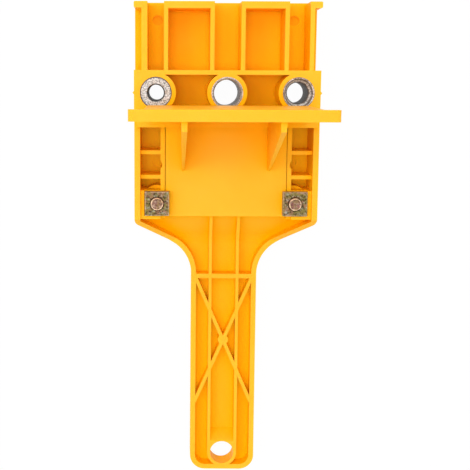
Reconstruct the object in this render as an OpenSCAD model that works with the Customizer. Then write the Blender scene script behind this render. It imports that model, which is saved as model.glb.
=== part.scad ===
// Dowelling jig: a hand-held drill guide for dowel joints in the edge or end of a board.
// Units are millimetres. X runs across the tool, +Y towards the top of the head and +Z
// towards the working side, which meets the board. The origin is on the axis of the middle
// guide bore, in the plane of the tool's flat back.

/* [Head] */
// Depth of the head from its back to the face that meets the edge of the board
head_depth = 16; // [14:0.5:22]
// Thickness of the back skin, the deck and the floors of the moulding
skin_t = 2; // [1.4:0.1:2.6]
// Top of the open box above the axis of the guide bores
box_top = 34; // [26:0.5:50]
// Width by which the back plate of the box stands out past the bushing block
box_flare = 0.25; // [0.1:0.05:1]
// Height by which the back plate stands out past the top of the ribs
box_rise = 0.6; // [0.2:0.1:1.2]
// Set-back of the box's side walls from the sides of the bushing block
box_inset = 2.9; // [1:0.1:5]
// Thickness of the ribs of the box
box_rib_t = 1.6; // [1:0.1:2.4]
// Distance from the middle of the head to the inner ribs of the box
box_rib_in = 5.8; // [4:0.1:9]
// Thickness of the left side wall of the box
box_wall_left = 2.2; // [1.2:0.1:3]
// Thickness of the right side wall of the box
box_wall_right = 1.6; // [1.2:0.1:3]
// Clear width of the left end cell of the box
box_cell_left = 6.2; // [4:0.1:10]
// Clear width of the right end cell of the box
box_cell_right = 7.8; // [4:0.1:10]
// Thickness of the bridges that close two cells of the box at the top
box_bridge_t = 2.6; // [1.4:0.1:4]
// Height of the corner lugs at the top of the side walls
lug_h = 2.4; // [1.5:0.1:5]
// Rounding of the corner lugs
lug_r = 0.5; // [0.2:0.1:1]

/* [Bushings] */
// Distance between neighbouring guide bores
bushing_pitch = 27; // [24:0.5:34]
// Outside diameter of the steel bushings
bushing_od = 12; // [11.6:0.1:13]
// Guide bore of the left bushing
bore_left = 6; // [4:0.5:9]
// Guide bore of the middle bushing
bore_mid = 10; // [6:0.5:10.5]
// Guide bore of the right bushing
bore_right = 8; // [5:0.5:10]
// Lead-in chamfer of each bore on the working side
bore_chamfer = 0.5; // [0.2:0.1:0.7]
// Wall left at the wide mouth of the right bushing
mouth_wall = 0.4; // [0.3:0.05:1]
// Depth of the wide mouth of the right bushing, which narrows down to its bore
mouth_deep = 4; // [2:0.5:10]
// Wall of the moulding around each bushing
boss_t = 1.6; // [1.2:0.1:2.4]
// Gap between a bushing and its seat in the moulding
bushing_gap = 0.02; // [0.01:0.01:0.04]

/* [Bushing block] */
// Solid end of the block, from the outer bore axis to the side of the tool
block_end = 8.3; // [8:0.1:12]
// Top of the block above the bore axis
block_up = 8.5; // [8.2:0.1:12]
// Bottom of the block below the bore axis
block_down = 10; // [9.5:0.1:13]
// Thickness of the upper and lower walls of the block
block_wall = 1.7; // [1.2:0.1:2.4]
// Height of the centre pointers on both sides of the block
pointer_h = 1.4; // [0.8:0.1:3]
// Distance that the centre pointers stand proud of the block
pointer_proud = 0.55; // [0.3:0.05:1]

/* [Fence] */
// Distance from the bore axis down to the face that the board lies on
fence_drop = 4.7; // [3.5:0.1:7]
// Distance that the fence stands out past the working face
fence_reach = 40; // [26:1:60]
// Thickness of the fence shelf
shelf_t = 4; // [3:0.05:4.6]
// Width by which the block stands out past each side of the shelf
shelf_inset = 5.2; // [0.5:0.1:8]
// Depth of the wide bar along the front of the shelf
bar_t = 3; // [2.4:0.1:6]
// Width by which the block stands out past each end of the bar
bar_inset = 0.1; // [0:0.05:0.6]
// Rounding of the two front corners of the bar
bar_r = 1.5; // [0.5:0.1:2]
// Height of the lip that covers the channel below the block
lip_h = 4.3; // [3:0.05:7]
// Width by which the block stands out past each end of the lip
lip_inset = 1; // [0:0.1:2]
// Thickness of the lip
lip_t = 1.4; // [1:0.1:2.4]
// Thickness of the sliding plate
plate_t = 2.2; // [1.6:0.1:3]
// Bottom edge of the sliding plate below the bore axis
plate_down = 47.7; // [47.2:0.1:48.4]
// Rise of the plate's front above the plane of the nut seats' backs
plate_front = 13.25; // [12.5:0.05:13.6]
// Distance from the middle of the fence to the middle of each gusset
gusset_x = 16.5; // [8:0.5:19]
// Thickness of the gussets at the shelf
gusset_t = 2.1; // [1.6:0.1:3]
// Thickness of the gussets at their foot
gusset_foot_t = 0.9; // [0.7:0.1:1.6]
// Depth of the gussets at the shelf before they start to slant
gusset_root = 3.4; // [2:0.1:6]
// Foot of the gussets on the plate, below the bore axis
gusset_foot = 30; // [20:0.5:36]
// Gap between the fence and the moulding that it slides on
slide_gap = 0.2; // [0.1:0.05:0.3]
// Gap between the plate's edges and the guide walls
edge_gap = 0.25; // [0.2:0.05:0.6]
// Travel of the fence
fence_travel = 15.4; // [8:0.2:15.4]

/* [Clamps] */
// Width across the flats of the square nuts
nut_w = 9.3; // [8:0.1:9.6]
// Thickness of the square nuts
nut_t = 2.8; // [2.4:0.1:3.2]
// Distance by which each nut laps over the edge of the plate
nut_lap = 1.4; // [0.8:0.1:2]
// Height of the nuts below the bore axis
nut_down = 42.5; // [42:0.1:43]
// Gap between a nut and the plate that it clamps
nut_gap = 0.1; // [0.05:0.05:0.2]
// Thread diameter of the clamp screws
screw_d = 5; // [4:0.1:5.4]
// Diameter of the screw heads
screw_head_d = 9; // [8:0.1:9.6]
// Height of the screw heads
screw_head_h = 3; // [2.4:0.1:3.4]
// Depth of the screw heads below the back
screw_sink = 0.4; // [0.2:0.1:1]
// Distance that the screw ends stand proud of the nuts
screw_proud = 0.8; // [0.2:0.1:1.6]
// Gap around the screw heads and shanks in the moulding
screw_gap = 0.2; // [0.1:0.05:0.5]
// Gap between the screw thread and the nut
thread_gap = 0.05; // [0.02:0.01:0.08]
// Gap around the nuts in their seats
seat_gap = 0.3; // [0.15:0.05:0.4]
// Height of the ridges that stop the nuts from turning
seat_ridge = 1.7; // [1:0.1:2.4]
// Thickness of the ridge between each nut and the side wall of the channel
seat_ridge_t = 1.5; // [1:0.1:3]
// Wall below each nut seat
seat_wall = 1.2; // [1:0.1:2]

/* [Handle] */
// Width of the handle
grip_w = 26.1; // [22:0.1:34]
// Depth of the handle
grip_depth = 6.5; // [5:0.1:10]
// End of the handle below the bore axis
grip_end = 155.1; // [136:0.1:190]
// Rounding of the handle's lower corners
grip_end_r = 6; // [3:0.5:10]
// Thickness of the outer wall of the shoulders and the handle
rim_t = 2; // [1.4:0.1:2.2]
// Thickness of the channel's side walls
rail_t = 2.2; // [1.8:0.1:2.8]
// Set-back of the channel's side walls from the sides of the bushing block
rail_inset = 0.1; // [0:0.05:1]
// Outer corner of the shoulder below the bore axis
shoulder_down = 50.6; // [49.5:0.1:53]
// Meeting point of the shoulder and the handle side, below the bore axis
neck_down = 63.8; // [61:0.1:70]
// Rounding of the shoulder's outer corner
shoulder_r = 2.6; // [1:0.1:4]
// Rounding between the shoulder and the handle
neck_r = 15; // [8:0.5:22]
// Length over which the walls fall from the head's depth to the handle's
fall_run = 9.7; // [8:0.1:10.5]
// Diameter of the hanging hole
hang_d = 9.6; // [6:0.1:9.6]
// Distance from the hanging hole to the end of the handle
hang_up = 7.2; // [7:0.1:12]
// Length over which the web rises to the edge of the hanging hole
hang_rise = 4; // [2:0.5:8]

/* [Ribs] */
// Distance from the middle of the tool to the two long ribs
spine_x = 5.4; // [5.3:0.1:7]
// Thickness of the two long ribs
spine_t = 1.2; // [1:0.1:1.8]
// Height of the cross rib at the neck, below the bore axis
cross_down = 73.3; // [70:0.1:78]
// Thickness of the cross rib at the neck
cross_t = 1.8; // [1:0.1:3]
// Middle of the diagonal ribs below the bore axis
brace_down = 99.8; // [98:0.1:106]
// Half the height of the pair of diagonal ribs
brace_h = 25.4; // [18:0.2:26]
// Thickness of the diagonal ribs
brace_t = 1.35; // [1:0.05:2]
// Diameter of the round node where the diagonal ribs cross
brace_node_d = 4.1; // [3:0.1:6]
// First cross rib in the side recesses, below the bore axis
recess_rib_a = 22.9; // [18:0.1:26]
// Second cross rib in the side recesses, below the bore axis
recess_rib_b = 32.4; // [29:0.1:35]
// Thickness of the cross ribs in the side recesses
recess_rib_t = 1.5; // [1:0.1:2.4]
// Thickness of the guide walls on both sides of the plate
guide_t = 1.7; // [1.2:0.05:2]
// Height of the long ribs above the deck
deck_drop = 2.3; // [1.6:0.1:3]

/* [Hidden] */

// Smoothness of round features, and of the arcs in an outline
$fn = 96;
arc_steps = 10;
// Overrun of every cut past the face that it opens
over = 1;

// Colours of the moulding, the bushings, the nuts and the screws
moulding_colour = [1.0, 0.70, 0.06];
steel_colour = [0.62, 0.62, 0.63];
nut_colour = [0.46, 0.45, 0.38];
screw_colour = [0.66, 0.58, 0.56];

// Places across the tool
block_half = bushing_pitch + block_end;
box_half = block_half - box_inset;
rail_half = block_half - rail_inset;
rail_in = rail_half - rail_t;
grip_half = grip_w / 2;
shelf_half = block_half - shelf_inset;
bar_half = block_half - bar_inset;
lip_half = block_half - lip_inset;
nut_x = rail_in - seat_ridge_t - seat_gap - nut_w / 2;
plate_half = nut_x - nut_w / 2 + nut_lap;
window_half = plate_half + edge_gap;
guide_half = window_half + guide_t;
boss_r = bushing_od / 2 + boss_t;

// Heights in the depth of the tool
plate_back = plate_front - plate_t;
spine_top = plate_back - slide_gap;
deck_top = spine_top - deck_drop;
nut_bottom = plate_front + nut_gap;
seat_top = plate_front - nut_gap;
shelf_back = head_depth + slide_gap;
shelf_front = head_depth + fence_reach;
lip_front = shelf_back + lip_t;

// Places along the tool, with the shelf, the lip and the sliding plate of the fence
shelf_bottom = -fence_drop - shelf_t;
lip_bottom = shelf_bottom - lip_h;
bridge_top = -block_down - slide_gap;
seat_bottom = -nut_down - nut_w / 2 - seat_gap;
seat_head = -nut_down + nut_w / 2 + seat_gap;
hang_y = hang_up - grip_end;

// The channel starts inside the lower wall of the bushing block
channel_top = block_wall / 2 - block_down;

// The walls and the deck fall to the handle from just below the nut seats
fall_start = seat_bottom - seat_wall;
fall_end = fall_start - fall_run;

// Marks left by the ejector pins on the floors
ejector_d = 4.2;
ejector_deep = 0.5;
ejector_x = guide_half + ejector_d / 3;
ejector_box_share = 0.81;
ejector_recess_y = -(recess_rib_a + recess_rib_b) / 2;

// Cross recess in the screw heads
drive_w = screw_head_d / 2;
drive_t = screw_head_d / 8;
drive_deep = screw_head_h / 2;
screw_tip = screw_d / 10;
nut_chamfer = nut_t / 8;

// Direction of a vector
function unit(v) = v / norm(v);
// The x and y of a corner that also has a radius
function flat(p) = [p[0], p[1]];
// Points of the arc that rounds corner b, between its neighbours a and c
function corner(a, b, c) =
  b[2] == 0
    ? [flat(b)]
    : let (
        to_a = unit(flat(a) - flat(b)),
        to_c = unit(flat(c) - flat(b)),
        half = acos(to_a * to_c) / 2,
        centre = flat(b) + unit(to_a + to_c) * b[2] / sin(half),
        start = flat(b) + to_a * b[2] / tan(half) - centre,
        turn = (180 - 2 * half) * (cross(to_a, to_c) < 0 ? 1 : -1),
        first = atan2(start[1], start[0])
      )
      [for (i = [0:arc_steps]) centre + b[2] * [cos(first + turn * i / arc_steps),
                                                sin(first + turn * i / arc_steps)]];
// Outline through corners given as [x, y, radius]
function rounded(p) = [
  for (i = [0:len(p) - 1])
    each corner(p[(i + len(p) - 1) % len(p)], p[i], p[(i + 1) % len(p)])
];
// A right half of corners, closed by its mirror image
function mirrored(p) = concat(p, [for (i = [len(p) - 1:-1:0]) [-p[i][0], p[i][1], p[i][2]]]);

// A profile drawn as [y, z], extruded across the tool about its middle
module across(width) {
  rotate([90, 0, 90])
    linear_extrude(height = width, center = true) children();
}

// The same children on both sides of the tool
module both_sides() {
  children();
  mirror([1, 0, 0]) children();
}

// A box from one corner to the opposite one
module block(low, high) {
  translate(low) cube(high - low);
}

// Plan of the channel, the shoulders and the handle, from the given top down
module body_plan(top) {
  polygon(rounded(mirrored([
    [grip_half, -grip_end, grip_end_r],
    [grip_half, -neck_down, neck_r],
    [rail_half, -shoulder_down, shoulder_r],
    [rail_half, top, 0]
  ])));
}

// The same plan inside the outer wall, open at the top
module inner_plan() {
  intersection() {
    offset(delta = -rim_t) body_plan(channel_top + rim_t);
    translate([-rail_in, -grip_end]) square([2 * rail_in, grip_end]);
  }
}

// Side profile under the top edges of the walls
module wall_profile() {
  polygon([
    [0, 0], [-grip_end, 0], [-grip_end, grip_depth],
    [fall_end, grip_depth], [fall_start, head_depth], [0, head_depth]
  ]);
}

// Side profile under the tops of the long ribs, which carry the plate
module spine_profile() {
  polygon([
    [0, 0], [-grip_end, 0], [-grip_end, grip_depth],
    [fall_end, grip_depth], [fall_start, spine_top], [0, spine_top]
  ]);
}

// Side profile under the deck, the ramp and the floor of the handle
module floor_profile() {
  polygon(rounded([
    [0, -skin_t - over, 0], [-grip_end, -skin_t - over, 0], [-grip_end, skin_t, 0],
    [fall_end, skin_t, fall_run], [fall_start, deck_top, fall_run / 2], [0, deck_top, 0]
  ]));
}

// Outer wall of the channel, the shoulders and the handle
module rim() {
  intersection() {
    linear_extrude(height = head_depth)
      difference() {
        body_plan(channel_top);
        inner_plan();
      }
    across(2 * rail_half) wall_profile();
  }
}

// Floor inside the outer wall: the deck, the ramp and the web of the handle
module floors() {
  difference() {
    intersection() {
      linear_extrude(height = head_depth) body_plan(channel_top);
      across(2 * rail_half) floor_profile();
    }
    intersection() {
      translate([0, 0, -over])
        linear_extrude(height = head_depth)
          offset(delta = -rim_t) body_plan(channel_top);
      across(2 * window_half)
        offset(delta = -skin_t) floor_profile();
    }
    both_sides() recess();
  }
}

// Side recess between a guide wall and the outer wall
module recess() {
  block([guide_half, seat_head, skin_t], [rail_in, -block_down, head_depth]);
}

// The two long ribs, from the bushing block down to the ring of the hanging hole
module spines() {
  intersection() {
    both_sides()
      block([spine_x - spine_t / 2, hang_y, 0], [spine_x + spine_t / 2, channel_top, head_depth]);
    across(2 * rail_half) spine_profile();
  }
}

// Cross rib at the neck and the diagonal ribs of the handle
module handle_ribs() {
  grip_in = grip_half - rim_t;
  brace_half = norm([grip_in, brace_h]) + rim_t / 2;
  block([-grip_in - rim_t / 2, -cross_down - cross_t / 2, 0],
        [grip_in + rim_t / 2, -cross_down + cross_t / 2, grip_depth]);
  translate([0, -brace_down, 0]) {
    for (side = [-1, 1])
      rotate(side * atan2(brace_h, grip_in))
        block([-brace_half, -brace_t / 2, 0], [brace_half, brace_t / 2, grip_depth]);
    cylinder(d = brace_node_d, h = grip_depth);
  }
}

// Ring around the hanging hole, to which the web rises between the long ribs
module hang_ring() {
  ring_r = spine_x + spine_t / 2;
  top = hang_y + hang_d / 2;
  foot = top + hang_rise * grip_depth / (grip_depth - skin_t);
  intersection() {
    union() {
      translate([0, hang_y, 0]) cylinder(r = ring_r, h = grip_depth);
      block([-spine_x, hang_y, 0], [spine_x, foot, grip_depth]);
    }
    across(2 * grip_half)
      polygon([[-grip_end, 0], [-grip_end, grip_depth], [top, grip_depth], [foot, 0]]);
  }
}

// Guide wall beside the plate, the ribs of the recess and the seat of one nut
module channel_side() {
  block([window_half, fall_start, 0], [guide_half, channel_top, seat_top]);
  for (y = [recess_rib_a, recess_rib_b])
    block([window_half, -y - recess_rib_t / 2, 0], [rail_in, -y + recess_rib_t / 2, seat_top]);
  block([window_half, fall_start, 0], [rail_in, seat_head, seat_top]);
  block([nut_x + nut_w / 2 + seat_gap, fall_start, 0],
        [rail_in, seat_head, seat_top + seat_ridge]);
  block([guide_half, fall_start, 0], [rail_in, seat_bottom, seat_top + seat_ridge]);
}

// Block that carries the bushings, with pockets between the bosses
module bushing_block() {
  difference() {
    block([-block_half, -block_down, 0], [block_half, block_up, head_depth]);
    block([-bushing_pitch, -block_down + block_wall, skin_t],
          [bushing_pitch, block_up - block_wall, head_depth + over]);
  }
  for (x = [-bushing_pitch, 0, bushing_pitch])
    translate([x, 0, 0]) cylinder(r = boss_r, h = head_depth);
  both_sides()
    linear_extrude(height = head_depth)
      polygon([
        [block_half, -pointer_h / 2], [block_half + pointer_proud, 0], [block_half, pointer_h / 2]
      ]);
}

// Open ribbed box above the bushing block
module head_box() {
  back_half = block_half + box_flare;
  foot = block_up - block_wall;
  block([-back_half, foot, 0], [back_half, box_top + box_rise, skin_t]);
  mirror([1, 0, 0]) box_side(foot, box_wall_left, box_cell_left);
  box_side(foot, box_wall_right, box_cell_right);
}

// Right half of the box: an inner rib, a bridge, an outer rib, an end cell and a side wall
module box_side(foot, wall_t, cell_w) {
  outer_rib = box_half - wall_t - cell_w;
  block([box_rib_in - box_rib_t / 2, foot, 0], [box_rib_in + box_rib_t / 2, box_top, head_depth]);
  block([outer_rib - box_rib_t, foot, 0], [outer_rib, box_top, head_depth]);
  block([box_rib_in, box_top - box_bridge_t, 0], [outer_rib, box_top, head_depth]);
  block([box_half - wall_t, foot, 0], [box_half, box_top, head_depth]);
  linear_extrude(height = head_depth)
    polygon(rounded([
      [box_half - wall_t, box_top, 0], [box_half - wall_t, box_top - lug_h, 0],
      [block_half, box_top - lug_h, lug_r], [block_half, box_top, lug_r]
    ]));
}

// Shallow round marks of the ejector pins on the floors, which also nick the guide walls
module ejector_marks() {
  for (x = [-ejector_x, ejector_x], y = [box_top * ejector_box_share, ejector_recess_y])
    translate([x, y, skin_t - ejector_deep])
      cylinder(d = ejector_d, h = head_depth);
}

// Round boss around a sunk screw head
module screw_boss() {
  cylinder(r = screw_head_d / 2 + screw_gap + boss_t, h = deck_top);
}

// Holes for a clamp screw and its head
module screw_hole() {
  translate([0, 0, -over]) {
    cylinder(d = screw_d + 2 * screw_gap, h = head_depth);
    cylinder(d = screw_head_d + 2 * screw_gap, h = screw_sink + screw_head_h + over);
  }
}

module frame_moulding() {
  color(moulding_colour)
    difference() {
      union() {
        rim();
        floors();
        spines();
        handle_ribs();
        hang_ring();
        both_sides() channel_side();
        for (side = [-1, 1])
          translate([side * nut_x, -nut_down, 0]) screw_boss();
        bushing_block();
        head_box();
      }
      for (x = [-bushing_pitch, 0, bushing_pitch])
        translate([x, 0, -over])
          cylinder(d = bushing_od + 2 * bushing_gap, h = head_depth + 2 * over);
      for (side = [-1, 1])
        translate([side * nut_x, -nut_down, 0]) screw_hole();
      translate([0, hang_y, -over])
        cylinder(d = hang_d, h = grip_depth + 2 * over);
      ejector_marks();
    }
}

// Shelf of the fence, with a wide bar along its front
module shelf() {
  bar_back = shelf_front - bar_t;
  translate([0, -fence_drop, 0])
    rotate([90, 0, 0])
      linear_extrude(height = shelf_t)
        polygon(rounded(mirrored([
          [shelf_half, shelf_back, 0],
          [shelf_half, bar_back, 0],
          [bar_half, bar_back, bar_r / 2],
          [bar_half, shelf_front, bar_r]
        ])));
}

// Gusset between the shelf and the plate, thinner towards its foot
module gusset() {
  translate([gusset_x, 0, 0])
    intersection() {
      across(gusset_t)
        polygon([
          [shelf_bottom, shelf_back], [shelf_bottom, shelf_front - bar_r],
          [shelf_bottom - gusset_root, shelf_front - bar_r],
          [-gusset_foot, plate_front], [-gusset_foot, plate_back],
          [lip_bottom, plate_back], [lip_bottom, shelf_back]
        ]);
      linear_extrude(height = shelf_front)
        polygon(rounded(mirrored([
          [gusset_foot_t / 2, -gusset_foot, 0], [gusset_t / 2, shelf_bottom, 0]
        ])));
    }
}

module fence() {
  color(moulding_colour) {
    shelf();
    block([-lip_half, lip_bottom, shelf_back], [lip_half, shelf_bottom, lip_front]);
    block([-plate_half, lip_bottom, plate_back], [plate_half, bridge_top, lip_front]);
    block([-plate_half, -plate_down, plate_back], [plate_half, lip_bottom, plate_front]);
    both_sides() gusset();
  }
}

// Steel guide bushing, pressed into the block, with a mouth that narrows down to its bore
module bushing(x, bore, mouth_r, deep) {
  color(steel_colour)
    translate([x, 0, 0])
      rotate_extrude()
        polygon([
          [bore / 2, 0], [bushing_od / 2, 0], [bushing_od / 2, head_depth],
          [mouth_r, head_depth], [bore / 2, head_depth - deep]
        ]);
}

module bushing_6() {
  bushing(-bushing_pitch, bore_left, bore_left / 2 + bore_chamfer, bore_chamfer);
}

module bushing_10() {
  bushing(0, bore_mid, bore_mid / 2 + bore_chamfer, bore_chamfer);
}

module bushing_8() {
  bushing(bushing_pitch, bore_right, bushing_od / 2 - mouth_wall, mouth_deep);
}

// Pan-head clamp screw with a cross recess, its head sunk in the back
module clamp_screw(x) {
  neck = screw_sink + screw_head_h;
  tip = nut_bottom + nut_t + screw_proud;
  color(screw_colour)
    translate([x, -nut_down, 0])
      difference() {
        rotate_extrude()
          polygon([
            [0, screw_sink], [screw_head_d / 2 - screw_tip, screw_sink],
            [screw_head_d / 2, screw_sink + screw_tip], [screw_head_d / 2, neck],
            [screw_d / 2, neck], [screw_d / 2, tip - screw_tip], [screw_d / 2 - screw_tip, tip],
            [0, tip]
          ]);
        for (turn = [0, 90])
          rotate(turn)
            block([-drive_w / 2, -drive_t / 2, 0], [drive_w / 2, drive_t / 2, screw_sink + drive_deep]);
      }
}

module clamp_screw_left() {
  clamp_screw(-nut_x);
}

module clamp_screw_right() {
  clamp_screw(nut_x);
}

// Square nut that clamps the edge of the plate
module clamp_nut(x) {
  thread_r = screw_d / 2 + thread_gap;
  color(nut_colour)
    translate([x, -nut_down, nut_bottom])
      difference() {
        translate([-nut_w / 2, -nut_w / 2, 0]) cube([nut_w, nut_w, nut_t]);
        translate([0, 0, -over]) cylinder(r = thread_r, h = nut_t + 2 * over);
        translate([0, 0, nut_t - nut_chamfer])
          cylinder(r1 = thread_r, r2 = thread_r + nut_chamfer + over, h = nut_chamfer + over);
      }
}

module clamp_nut_left() {
  clamp_nut(-nut_x);
}

module clamp_nut_right() {
  clamp_nut(nut_x);
}

frame_moulding();
fence();
bushing_6();
bushing_10();
bushing_8();
clamp_screw_left();
clamp_screw_right();
clamp_nut_left();
clamp_nut_right();
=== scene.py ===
"""Looks of a hand-held dowelling jig: finishes, fine detail, studio and camera.

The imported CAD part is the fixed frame. Everything is in metres, in the part's own frame:
+X across the tool, +Y towards the top of the head, +Z out of the working side. The tool
lies on its flat back, on the floor at z = 0.
"""

import math

import bmesh
import bpy
from mathutils import Euler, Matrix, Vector


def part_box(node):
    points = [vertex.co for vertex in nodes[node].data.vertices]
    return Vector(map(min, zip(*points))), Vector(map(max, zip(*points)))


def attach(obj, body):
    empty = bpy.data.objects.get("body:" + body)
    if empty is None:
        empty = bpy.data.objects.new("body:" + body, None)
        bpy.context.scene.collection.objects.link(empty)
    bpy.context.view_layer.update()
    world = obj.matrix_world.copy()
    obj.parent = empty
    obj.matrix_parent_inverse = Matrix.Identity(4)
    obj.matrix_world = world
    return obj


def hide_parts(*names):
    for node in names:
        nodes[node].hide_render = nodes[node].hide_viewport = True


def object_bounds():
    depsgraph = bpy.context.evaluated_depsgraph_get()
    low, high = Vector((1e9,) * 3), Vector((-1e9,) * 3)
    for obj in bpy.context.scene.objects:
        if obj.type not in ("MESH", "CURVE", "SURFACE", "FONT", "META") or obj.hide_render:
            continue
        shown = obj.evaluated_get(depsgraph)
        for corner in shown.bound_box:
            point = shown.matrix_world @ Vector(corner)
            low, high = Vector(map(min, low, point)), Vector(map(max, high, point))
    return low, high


MM = 0.001


class Pattern:
    """A noise: size of its patches, detail, roughness, and the span over which it fades in."""

    def __init__(self, size, detail, rough=0.55, span=(0.3, 0.7)):
        self.size = size
        self.detail = detail
        self.rough = rough
        self.span = span


# The photograph, in its own pixels, and the camera that took it
PHOTO_SIZE = 470
PRINCIPAL_POINT = (175, 175)
FOCAL_PX = 780.7
CAMERA_PLACE = Vector((-18.98, 6.02, 312.45)) * MM
CAMERA_TURN_DEG = (-7.176, 0.156, 0.209)
SENSOR = 36
CLIP_START = 10 * MM

# Moulded plastic. All colours are linear.
ABS_YELLOW = (1.000, 0.470, 0.030)
ABS_FLOW = (0.990, 0.445, 0.024)
# painted shade: deeper, more orange tones for shut-in pockets and corners
ABS_POCKET_SHADE = (1.000, 0.445, 0.000)
ABS_CORNER_SHADE = (1.000, 0.500, 0.000)
ABS_MARK = (0.950, 0.330, 0.000)
ABS_SHEEN = (1.0, 0.8, 0.3)
ABS_SPECULAR = 0.12
ABS_ROUGH = (0.38, 0.48)
ABS_GLOW = 0.25
ABS_GLOW_TINT = (1.0, 0.6, 0.12)
ABS_GLOW_REACH = 5 * MM
FLOW = Pattern(22 * MM, 2, span=(0.35, 0.65))
RUBBED = Pattern(7 * MM, 5, 0.65)
GRAIN = Pattern(0.35 * MM, 2)
GRAIN_DEPTH = 0.006 * MM
WAVE = Pattern(4 * MM, 1)
WAVE_DEPTH = 0.03 * MM

# Painted shade: how open a place is to its surroundings sets how deep its tone is. The distance
# that counts, the span from the deepest corners to the pockets, and the span from the pockets to
# the open shell
OPEN_REACH = 14 * MM
OPEN_SAMPLES = 8
CORNER_SPAN = (0.20, 0.45)
OPEN_SPAN = (0.58, 1.0)

# Marks of the two ejector pins on the floor of the head's box, left and right
PIN_MARK = Vector((26.65, 28.0, 0)) * MM
PIN_FADE = (1.9 * MM, 2.2 * MM)
PIN_SHARE = 0.6

# Turned steel of the bushings
STEEL_GREY = (0.800, 0.800, 0.805)
STEEL_WARM = (0.700, 0.660, 0.610)
STEEL_DARK = (0.110, 0.095, 0.085)
# painted shade for the gap at a bushing's outer edge and inside its bore
STEEL_EDGE_SHADE = (0.060, 0.052, 0.048)
STEEL_BROWN = (0.220, 0.150, 0.100)
# painted reflection: a near-white tone for light the turned steel throws back
STEEL_REFLECTION = (1.000, 0.940, 0.870)
STEEL_ROUGH = (0.45, 0.70)
STAIN = Pattern(1.7 * MM, 5, 0.65, span=(0.38, 0.62))
SCRATCH = Pattern(0.55 * MM, 4, 0.7, span=(0.46, 0.60))
SCRATCH_SHARE = 0.9
STEEL_PITS = Pattern(0.5 * MM, 6, 0.7)
STEEL_PIT_DEPTH = 0.08 * MM
WOBBLE = Pattern(2.2 * MM, 4)
WOBBLE_TURN = 5.0
GROOVE_SPAN = (-0.3, 0.8)
GROOVE_DEPTH_SHARE = 1 / 16
# how the painted shade fades in from the edges and from the bore's wall
EDGE_FADE = (0.50 * MM, 0.25 * MM)
WALL_FADE = (0.20 * MM, 0.05 * MM)

# Each bushing's bore radius and pitch of its turning marks, how far these darken it, how far
# painted shade darkens its edges and the wall of its bore, how much a painted reflection brightens
# it between them, and how metallic it looks
TURNING = {
    "bushing_6": {
        "bore": 3.0 * MM, "pitch": 0.40 * MM, "marked": 0.15, "edge_shade": 0.90,
        "bore_shade": 0.6, "bright": 0.0, "metallic": 0.9,
    },
    "bushing_10": {
        "bore": 5.0 * MM, "pitch": 1.20 * MM, "marked": 0.50, "edge_shade": 0.30,
        "bore_shade": 0.5, "bright": 0.5, "metallic": 0.4,
    },
    "bushing_8": {
        "bore": 4.0 * MM, "pitch": 1.70 * MM, "marked": 0.90, "edge_shade": 0.15,
        "bore_shade": 0.9, "bright": 1.0, "metallic": 0.3,
    },
}

# Zinc plate of the nuts and screws: three tones each, the pits, and the painted highlights on a
# screw's rim and a nut's edges
NUT_TONES = ((0.293, 0.245, 0.082), (0.396, 0.228, 0.139), (0.504, 0.480, 0.372))
NUT_PIT = (0.072, 0.048, 0.024)
# painted highlight along a nut's edges
NUT_EDGE_HIGHLIGHT = (0.620, 0.500, 0.340)
SCREW_TONES = ((0.360, 0.168, 0.139), (0.360, 0.240, 0.120), (0.576, 0.432, 0.336))
SCREW_PIT = (0.192, 0.096, 0.072)
# painted highlight on a screw's end rim
SCREW_RIM_HIGHLIGHT = (1.000, 0.800, 0.560)
ZINC_ROUGH = (0.64, 0.82)
PATCH = Pattern(2.2 * MM, 4, 0.6, span=(0.44, 0.56))
CLOUD = Pattern(1.6 * MM, 4, 0.6, span=(0.52, 0.64))
CLOUD_SHIFT = (50 * MM, 0, 0)
CLOUD_SHARE = 0.9
SPECKS = Pattern(0.80 * MM, 4, 0.7, span=(0.50, 0.58))
SPECKS_SHIFT = (0, 30 * MM, 0)
SPECKS_SHARE = 0.85
ZINC_PITS = Pattern(0.4 * MM, 5, 0.7)
ZINC_PIT_DEPTH = 0.05 * MM
DENTS = Pattern(1.5 * MM, 3)
DENT_DEPTH = 0.12 * MM

# How the painted highlights on the rim of a screw and the edge of a nut fade out, and how uneven
# they are
RIM_FADE_IN = 0.1 * MM
RIM_FADE_OUT = 0.05 * MM
RIM_HIGHLIGHT_BREAK_SPAN = (0.40, 0.62)
RIM_HIGHLIGHT_BREAKS = (1, 0.35)
NUT_EDGE_FADE = (0.45 * MM, 0.15 * MM)
NUT_EDGE_SHARE = 0.65
NUT_HIGHLIGHT_BREAK_SPAN = (0.40, 0.52)
NUT_HIGHLIGHT_BREAKS = (0.25, 1)

# Clamp screw, M5 x 0.8, with a cupped end. Shares are of the thread's radius.
THREAD_R = 2.5 * MM
THREAD_PITCH = 0.8 * MM
THREAD_DEPTH = 0.45 * MM
THREAD_STEPS = 12
FLANK_SLOPE = 1.3
CREST = 0.15
CUP_DEPTH = 0.15 * MM
CUP_FLOOR_SHARE = 0.60
CUP_WALL_SHARE = 0.72
END_FLAT_SHARE = 0.83
END_RIM_SHARE = 0.93
RIM_SINK_SHARE = 1 / 8
RING_SIDES = 48

# Its pan head, with a domed back whose shares are of the head's radius and height
HEAD_H = 3.0 * MM
HEAD_CHAMFER = 0.15 * MM
NECK_ROUND = 0.1 * MM
DOME_R_SHARE = 0.42
DOME_H_SHARE = 0.62
DOME_STEPS = 8

# The cross recess in the head: wider at its mouth, narrower at its floor
DRIVE_W = 4.5 * MM
DRIVE_T = 1.1 * MM
DRIVE_DEEP = 1.6 * MM
DRIVE_OVERRUN = 1 * MM
DRIVE_MOUTH_SHARE = 1.25
DRIVE_FLOOR_W_SHARE = 0.45
DRIVE_FLOOR_T_SHARE = 0.8

# Rounding of the moulded, stamped and turned edges
FRAME_ROUND = 0.30 * MM
FENCE_ROUND = 0.45 * MM
NUT_ROUND = 0.30 * MM
STEEL_ROUND = 0.12 * MM
ROUND_STEPS = 2
NUT_ROUND_STEPS = 3
SHARP_DEG = 40
SCREW_SHARP_DEG = 35

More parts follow.
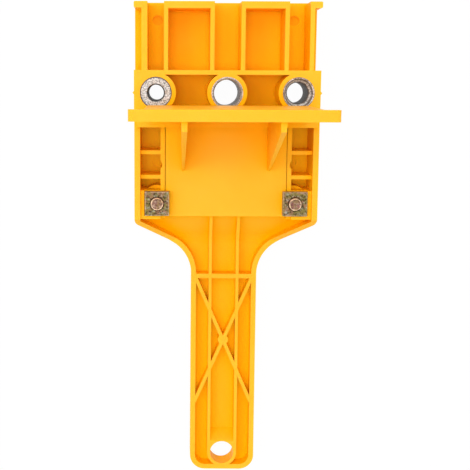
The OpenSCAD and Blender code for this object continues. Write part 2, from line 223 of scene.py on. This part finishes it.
# Studio, in metres and watts: every lamp has a place and a power
FLOOR_SIZE = 6.0
FLOOR_TONE = (0.9, 0.9, 0.9)
FLOOR_ROUGH = 0.9
FLOOR_SPECULAR = 0.1
FLOOR_GLOW_SHARE = 0.97
WHITE = (1, 1, 1)
WORLD_STRENGTH = 0.58
LAMP_SIZE = 0.5
LAMP_TARGET = Vector((0, -0.05, 0))
LAMPS = {
    "key": ((-0.65, 0.2, 0.95), 3.4),
    "over": ((-0.1, -0.05, 1.2), 4.8),
    "up": ((0.0, 0.6, 1.0), 1.7),
    "behind": ((0.0, 1.0, 0.5), 2.0),
    "edge": ((0.8, -0.5, 0.45), 0.8),
    "left": ((-1.0, 0.0, 0.5), 0.9),
    "right": ((1.0, 0.1, 0.5), 0.8),
}


# Node helpers


class Nodes:
    """Short calls to build one node material."""

    def __init__(self, name):
        self.material = bpy.data.materials.new(name)
        self.material.use_nodes = True
        self.tree = self.material.node_tree
        self.shader = self.tree.nodes["Principled BSDF"]
        self.output = self.tree.nodes["Material Output"]

    def add(self, kind, inputs=None, **settings):
        node = self.tree.nodes.new(kind)
        for key, value in settings.items():
            setattr(node, key, value)
        for key, value in (inputs or {}).items():
            self.put(node.inputs[key], value)
        return node

    def put(self, socket, value):
        """Links a socket to the input, or sets a plain value on it."""
        if isinstance(value, bpy.types.NodeSocket):
            self.tree.links.new(value, socket)
        elif socket.type == "RGBA":
            socket.default_value = (*value, 1)
        else:
            socket.default_value = value

    def place(self, centre=(0, 0, 0)):
        """Object coordinates counted from a centre."""
        coords = self.add("ShaderNodeTexCoord").outputs["Object"]
        return self.shifted(coords, centre)

    def shifted(self, place, centre):
        return self.add("ShaderNodeVectorMath", {0: place, 1: Vector(centre)},
                        operation="SUBTRACT").outputs[0]

    def axes(self, place):
        """The X, Y and Z of a place."""
        return self.add("ShaderNodeSeparateXYZ", {"Vector": place}).outputs

    def noise(self, place, pattern):
        return self.add("ShaderNodeTexNoise", {
            "Vector": place, "Scale": 1 / pattern.size,
            "Detail": pattern.detail, "Roughness": pattern.rough,
        }).outputs["Fac"]

    def ramp(self, value, span, to=(0, 1)):
        """Maps value from one span to another, held at both ends."""
        return self.add("ShaderNodeMapRange", {
            "Value": value, "From Min": span[0], "From Max": span[1],
            "To Min": to[0], "To Max": to[1],
        }).outputs["Result"]

    def blend(self, share, a, b):
        mix = self.add("ShaderNodeMix", data_type="RGBA")
        self.put(mix.inputs["Factor"], share)
        self.put(mix.inputs["A"], a)
        self.put(mix.inputs["B"], b)
        return mix.outputs["Result"]

    def math(self, operation, a, b=0.0):
        return self.add("ShaderNodeMath", {0: a, 1: b}, operation=operation).outputs[0]

    def radius(self, place):
        """Distance from the vertical axis through the place's own zero."""
        axes = self.axes(place)
        across, along = (self.math("POWER", axes[axis], 2.0) for axis in "XY")
        return self.math("SQRT", self.math("ADD", across, along))

    def bump(self, height, depth, under=None):
        inputs = {"Height": height, "Distance": depth, "Strength": 1.0}
        if under is not None:
            inputs["Normal"] = under
        return self.add("ShaderNodeBump", inputs).outputs["Normal"]

    def shade(self, **values):
        for key, value in values.items():
            self.put(self.shader.inputs[key.replace("_", " ")], value)
        return self.material


# Finishes


def moulded_abs():
    """Satin yellow ABS: faint flow marks, a fine spark-eroded grain and rubbed patches.

    It is deeper in tone where it is shut in, which is painted shade, and on the marks of the
    ejector pins.
    """
    n = Nodes("yellow_abs")
    place = n.place()
    shell = n.blend(n.ramp(n.noise(place, FLOW), FLOW.span), ABS_YELLOW, ABS_FLOW)

    # painted shade: the less open a place, the more it takes the pocket and corner tones
    openness = n.add("ShaderNodeAmbientOcclusion", {"Distance": OPEN_REACH},
                     samples=OPEN_SAMPLES).outputs["AO"]
    pocket_shade = n.blend(n.ramp(openness, CORNER_SPAN), ABS_CORNER_SHADE, ABS_POCKET_SHADE)
    tone = n.blend(n.ramp(openness, OPEN_SPAN), pocket_shade, shell)

    axes = n.axes(place)
    mirrored = n.add("ShaderNodeCombineXYZ", {
        "X": n.math("ABSOLUTE", axes["X"]), "Y": axes["Y"],
    }).outputs[0]
    from_pin = n.radius(n.shifted(mirrored, PIN_MARK))
    tone = n.blend(n.ramp(from_pin, PIN_FADE, (PIN_SHARE, 0)), tone, ABS_MARK)

    grain = n.bump(n.noise(place, GRAIN), GRAIN_DEPTH)
    return n.shade(
        Base_Color=tone,
        Roughness=n.ramp(n.noise(place, RUBBED), RUBBED.span, ABS_ROUGH),
        Normal=n.bump(n.noise(place, WAVE), WAVE_DEPTH, grain),
        Specular_IOR_Level=ABS_SPECULAR,
        Specular_Tint=ABS_SHEEN,
        Subsurface_Weight=ABS_GLOW,
        Subsurface_Radius=ABS_GLOW_TINT,
        Subsurface_Scale=ABS_GLOW_REACH,
    )


def turned_steel(name, centre, outer, bore, pitch, marked, edge_shade, bore_shade, bright, metallic):
    """Turned steel: grooves round the bore's axis, a granular face, painted shade at its edges and
    bore, and a painted reflection.
    """
    n = Nodes(name)
    skin, place = n.place(), n.place(centre)
    radius = n.radius(place)
    travel = n.math("SUBTRACT", radius, n.axes(place)["Z"])
    turn = n.math("MULTIPLY", travel, 2 * math.pi / pitch)
    wobble = n.math("MULTIPLY", n.noise(skin, WOBBLE), WOBBLE_TURN)
    groove = n.math("SINE", n.math("ADD", turn, wobble))

    tone = n.blend(n.ramp(n.noise(skin, STAIN), STAIN.span), STEEL_GREY, STEEL_WARM)
    # painted reflection brightens the face by each bushing's bright share
    tone = n.blend(bright, tone, STEEL_REFLECTION)
    tone = n.blend(n.ramp(groove, GROOVE_SPAN, (0, marked)), tone, STEEL_BROWN)
    scratch = n.ramp(n.noise(skin, SCRATCH), SCRATCH.span, (0, SCRATCH_SHARE))
    tone = n.blend(scratch, tone, STEEL_DARK)

    # painted shade at the outer edge, the bore's mouth and the bore's wall
    rim = n.ramp(radius, [outer - fade for fade in EDGE_FADE], (0, edge_shade))
    mouth = n.ramp(radius, [bore + fade for fade in EDGE_FADE], (0, edge_shade))
    wall = n.ramp(radius, [bore + fade for fade in WALL_FADE], (0, bore_shade))
    dark = n.math("MAXIMUM", rim, n.math("MAXIMUM", mouth, wall))

    pits = n.noise(skin, STEEL_PITS)
    grooves = n.bump(groove, pitch * GROOVE_DEPTH_SHARE)
    return n.shade(
        Base_Color=n.blend(dark, tone, STEEL_EDGE_SHADE),
        Metallic=metallic,
        Roughness=n.ramp(pits, STEEL_PITS.span, STEEL_ROUGH),
        Normal=n.bump(pits, STEEL_PIT_DEPTH, grooves),
    )


def plated(name, tones, pit, centre, ring=None, edge=None):
    """Zinc plate over steel, passivated in uneven patches of three tones, with dark pits.

    A ring (inner and outer radius, colour) is a painted highlight on the end of a screw, and the
    edge (distance from the middle, colour) of a square nut gets a painted highlight.
    """
    n = Nodes(name)
    skin, place = n.place(), n.place(centre)
    patch = n.noise(skin, PATCH)
    cloud = n.noise(n.place(CLOUD_SHIFT), CLOUD)
    specks = n.noise(n.place(SPECKS_SHIFT), SPECKS)
    tone = n.blend(n.ramp(patch, PATCH.span), tones[0], tones[1])
    tone = n.blend(n.ramp(cloud, CLOUD.span, (0, CLOUD_SHARE)), tone, tones[2])
    tone = n.blend(n.ramp(specks, SPECKS.span, (0, SPECKS_SHARE)), tone, pit)
    # painted highlight: a bright ring on the screw's end rim, broken up by the specks
    if ring is not None:
        start, end, colour = ring
        radius = n.radius(place)
        share = n.math("MULTIPLY", n.ramp(radius, (start - RIM_FADE_IN, start)),
                       n.ramp(radius, (end, end + RIM_FADE_OUT), (1, 0)))
        share = n.math("MULTIPLY", share, n.ramp(specks, RIM_HIGHLIGHT_BREAK_SPAN, RIM_HIGHLIGHT_BREAKS))
        tone = n.blend(share, tone, colour)
    # painted highlight: the nut's edges lighter, broken up by the patches
    if edge is not None:
        reach, colour = edge
        axes = n.axes(place)
        across, along = (n.math("ABSOLUTE", axes[axis]) for axis in "XY")
        share = n.ramp(n.math("MAXIMUM", across, along),
                       [reach - fade for fade in NUT_EDGE_FADE], (0, NUT_EDGE_SHARE))
        share = n.math("MULTIPLY", share, n.ramp(patch, NUT_HIGHLIGHT_BREAK_SPAN, NUT_HIGHLIGHT_BREAKS))
        tone = n.blend(share, tone, colour)

    pits = n.noise(skin, ZINC_PITS)
    return n.shade(
        Base_Color=tone,
        Metallic=1.0,
        Roughness=n.ramp(pits, ZINC_PITS.span, ZINC_ROUGH),
        Normal=n.bump(n.noise(skin, DENTS), DENT_DEPTH, n.bump(pits, ZINC_PIT_DEPTH)),
    )


def dress(obj, material):
    obj.data.materials.clear()
    obj.data.materials.append(material)


def soften(obj, width, steps=ROUND_STEPS):
    """Rounds the sharp edges of a rigid piece, and shades it smooth between them."""
    bevel = obj.modifiers.new("edges", "BEVEL")
    bevel.width = width
    bevel.segments = steps
    bevel.limit_method = "ANGLE"
    bevel.angle_limit = math.radians(SHARP_DEG)
    bevel.use_clamp_overlap = True
    bevel.harden_normals = True


def link(obj):
    bpy.context.scene.collection.objects.link(obj)
    return obj


def middle(node):
    low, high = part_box(node)
    return (low + high) / 2


def half_width(node):
    low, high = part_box(node)
    return (high.x - low.x) / 2


# Screws


def thread_cut(z, angle):
    """Depth of the right-hand thread's groove at a height and an angle round the screw."""
    phase = (z / THREAD_PITCH - angle / (2 * math.pi)) % 1
    slope = abs(2 * phase - 1)
    return THREAD_DEPTH * min(1, max(0, FLANK_SLOPE * slope - CREST))


def screw_rows(low, tip, head_r):
    """Radius and height of each ring of the screw, from the middle of its end to its head."""
    neck = low + HEAD_H
    rows = [
        (0, tip - CUP_DEPTH),
        (CUP_FLOOR_SHARE * THREAD_R, tip - CUP_DEPTH),
        (CUP_WALL_SHARE * THREAD_R, tip - CUP_DEPTH / 2),
        (END_FLAT_SHARE * THREAD_R, tip),
        (END_RIM_SHARE * THREAD_R, tip),
    ]
    # the first ring lies just under the rim, and a chamfer leads from it to the thread
    rim = END_RIM_SHARE * THREAD_R
    sink = (THREAD_R - rim) * RIM_SINK_SHARE
    z = tip
    while z > neck + THREAD_PITCH:
        rows.append((min(THREAD_R, rim + (tip - z)), z - sink))
        z -= THREAD_PITCH / THREAD_STEPS
    rows += [
        (THREAD_R, neck + NECK_ROUND),
        (THREAD_R + NECK_ROUND, neck),
        (head_r - HEAD_CHAMFER, neck),
        (head_r, neck - HEAD_CHAMFER),
    ]
    # the domed back of the pan head, a quarter of an ellipse
    dome_r, dome_h = head_r * DOME_R_SHARE, HEAD_H * DOME_H_SHARE
    for i in range(DOME_STEPS + 1):
        turn = math.pi / 2 * i / DOME_STEPS
        rows.append((head_r - dome_r + dome_r * math.cos(turn),
                     low + dome_h * (1 - math.sin(turn))))
    rows.append((0, low))
    return rows


def ring_mesh(name, rows, centre, threaded_above):
    """Closed mesh through rings about a vertical axis. Rings of no radius are single points."""
    form = bmesh.new()
    rings = []
    for r, z in rows:
        if r == 0:
            rings.append([form.verts.new((centre.x, centre.y, z))])
            continue
        ring = []
        for i in range(RING_SIDES):
            angle = 2 * math.pi * i / RING_SIDES
            reach = r
            if z > threaded_above:
                reach = min(r, THREAD_R - thread_cut(z, angle))
            ring.append(form.verts.new((centre.x + reach * math.cos(angle),
                                        centre.y + reach * math.sin(angle), z)))
        rings.append(ring)
    for upper, lower in zip(rings, rings[1:]):
        for i in range(RING_SIDES):
            j = (i + 1) % RING_SIDES
            if len(upper) == 1:
                form.faces.new((upper[0], lower[i], lower[j]))
            elif len(lower) == 1:
                form.faces.new((upper[i], lower[0], upper[j]))
            else:
                form.faces.new((upper[i], lower[i], lower[j], upper[j]))
    bmesh.ops.recalc_face_normals(form, faces=form.faces)
    mesh = bpy.data.meshes.new(name)
    form.to_mesh(mesh)
    form.free()
    return mesh


def cross_cutter(centre, low):
    """Tapered cross that cuts the drive recess into the head."""
    mouth = (low - DRIVE_OVERRUN, DRIVE_W / 2 * DRIVE_MOUTH_SHARE, DRIVE_T / 2 * DRIVE_MOUTH_SHARE)
    floor = (low + DRIVE_DEEP, DRIVE_W / 2 * DRIVE_FLOOR_W_SHARE, DRIVE_T / 2 * DRIVE_FLOOR_T_SHARE)
    form = bmesh.new()
    for turn in (0, math.pi / 2):
        corners = []
        for z, half_w, half_t in (mouth, floor):
            for side_x, side_y in ((-1, -1), (1, -1), (1, 1), (-1, 1)):
                x, y = side_x * half_w, side_y * half_t
                corners.append(form.verts.new((
                    centre.x + x * math.cos(turn) - y * math.sin(turn),
                    centre.y + x * math.sin(turn) + y * math.cos(turn), z)))
        bottom, top = corners[:4], corners[4:]
        form.faces.new(bottom[::-1])
        form.faces.new(top)
        for i in range(4):
            j = (i + 1) % 4
            form.faces.new((bottom[i], bottom[j], top[j], top[i]))
    mesh = bpy.data.meshes.new("cross_cutter")
    form.to_mesh(mesh)
    form.free()
    return link(bpy.data.objects.new("cross_cutter", mesh))


def make_screw(side, material):
    """Pan-head screw with a rolled thread, which stands for the plain CAD screw."""
    node = "clamp_screw_" + side
    low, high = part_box(node)
    centre = middle(node)
    rows = screw_rows(low.z, high.z, half_width(node))
    mesh = ring_mesh("screw_" + side, rows, centre, low.z + HEAD_H + THREAD_PITCH)
    screw = link(bpy.data.objects.new("threaded_screw_" + side, mesh))

    cutter = cross_cutter(centre, low.z)
    cut = screw.modifiers.new("drive", "BOOLEAN")
    cut.operation = "DIFFERENCE"
    cut.solver = "EXACT"
    cut.use_self = True
    cut.object = cutter
    bpy.context.view_layer.update()
    shape = bpy.data.meshes.new_from_object(
        screw.evaluated_get(bpy.context.evaluated_depsgraph_get()))
    screw.modifiers.clear()
    screw.data = shape
    bpy.data.objects.remove(cutter)
    shape.shade_smooth()
    shape.set_sharp_from_angle(angle=math.radians(SCREW_SHARP_DEG))

    dress(screw, material)
    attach(screw, "screw_" + side)
    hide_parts(node)


# Studio


def floor_material():
    """Pale floor that looks white, and keeps the object's soft shadow."""
    n = Nodes("studio_floor")
    n.shade(Base_Color=FLOOR_TONE, Roughness=FLOOR_ROUGH, Specular_IOR_Level=FLOOR_SPECULAR)
    path = n.add("ShaderNodeLightPath").outputs
    seen = n.math("MAXIMUM", path["Is Camera Ray"],
                  n.math("MAXIMUM", path["Is Glossy Ray"], path["Is Transmission Ray"]))
    glow = n.add("ShaderNodeEmission", {"Color": WHITE, "Strength": 1.0})
    mix = n.add("ShaderNodeMixShader", {
        "Fac": n.math("MULTIPLY", seen, FLOOR_GLOW_SHARE),
        1: n.shader.outputs[0], 2: glow.outputs[0],
    })
    n.tree.links.new(mix.outputs[0], n.output.inputs["Surface"])
    return n.material


def make_floor(level):
    mesh = bpy.data.meshes.new("studio_floor")
    form = bmesh.new()
    bmesh.ops.create_grid(form, x_segments=1, y_segments=1, size=FLOOR_SIZE / 2)
    form.to_mesh(mesh)
    form.free()
    floor = link(bpy.data.objects.new("studio_floor", mesh))
    floor.location.z = level
    dress(floor, floor_material())


def area_light(name, place, power):
    data = bpy.data.lights.new(name, "AREA")
    data.shape = "SQUARE"
    data.size = LAMP_SIZE
    data.energy = power
    lamp = link(bpy.data.objects.new(name, data))
    lamp.location = place
    lamp.rotation_euler = (LAMP_TARGET - Vector(place)).to_track_quat("-Z", "Y").to_euler()


def make_world():
    world = bpy.data.worlds.new("studio")
    world.use_nodes = True
    back = world.node_tree.nodes["Background"]
    back.inputs["Color"].default_value = (*WHITE, 1)
    back.inputs["Strength"].default_value = WORLD_STRENGTH
    bpy.context.scene.world = world


def make_camera():
    data = bpy.data.cameras.new("camera")
    data.sensor_width = SENSOR
    data.lens = FOCAL_PX / PHOTO_SIZE * SENSOR
    data.shift_x = 0.5 - PRINCIPAL_POINT[0] / PHOTO_SIZE
    data.shift_y = PRINCIPAL_POINT[1] / PHOTO_SIZE - 0.5
    data.clip_start = CLIP_START
    camera = link(bpy.data.objects.new("camera", data))
    camera.location = CAMERA_PLACE
    camera.rotation_euler = Euler([math.radians(a) for a in CAMERA_TURN_DEG], "XYZ")
    bpy.context.scene.camera = camera


# Scene

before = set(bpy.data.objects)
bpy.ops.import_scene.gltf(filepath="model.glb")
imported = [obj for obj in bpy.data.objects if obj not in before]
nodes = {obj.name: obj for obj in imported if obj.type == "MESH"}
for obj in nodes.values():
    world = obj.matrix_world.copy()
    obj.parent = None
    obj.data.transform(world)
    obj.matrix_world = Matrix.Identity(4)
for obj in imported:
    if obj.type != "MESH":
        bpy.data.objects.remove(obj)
cad_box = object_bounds()

yellow = moulded_abs()
for name, width in (("frame_moulding", FRAME_ROUND), ("fence", FENCE_ROUND)):
    dress(nodes[name], yellow)
    soften(nodes[name], width)

for name, turning in TURNING.items():
    steel = turned_steel("steel_" + name, middle(name), half_width(name), **turning)
    dress(nodes[name], steel)
    soften(nodes[name], STEEL_ROUND)

for side in ("left", "right"):
    nut, screw = "clamp_nut_" + side, "clamp_screw_" + side
    edge = (half_width(nut), NUT_EDGE_HIGHLIGHT)
    dress(nodes[nut], plated("nut_zinc_" + side, NUT_TONES, NUT_PIT, middle(nut), edge=edge))
    soften(nodes[nut], NUT_ROUND, NUT_ROUND_STEPS)
    ring = (END_FLAT_SHARE * THREAD_R, END_RIM_SHARE * THREAD_R, SCREW_RIM_HIGHLIGHT)
    make_screw(side, plated("screw_zinc_" + side, SCREW_TONES, SCREW_PIT, middle(screw), ring))

make_floor(cad_box[0].z)
make_world()
for name, (place, power) in LAMPS.items():
    area_light(name, place, power)
make_camera()

scene = bpy.context.scene
scene.view_settings.view_transform = "Standard"
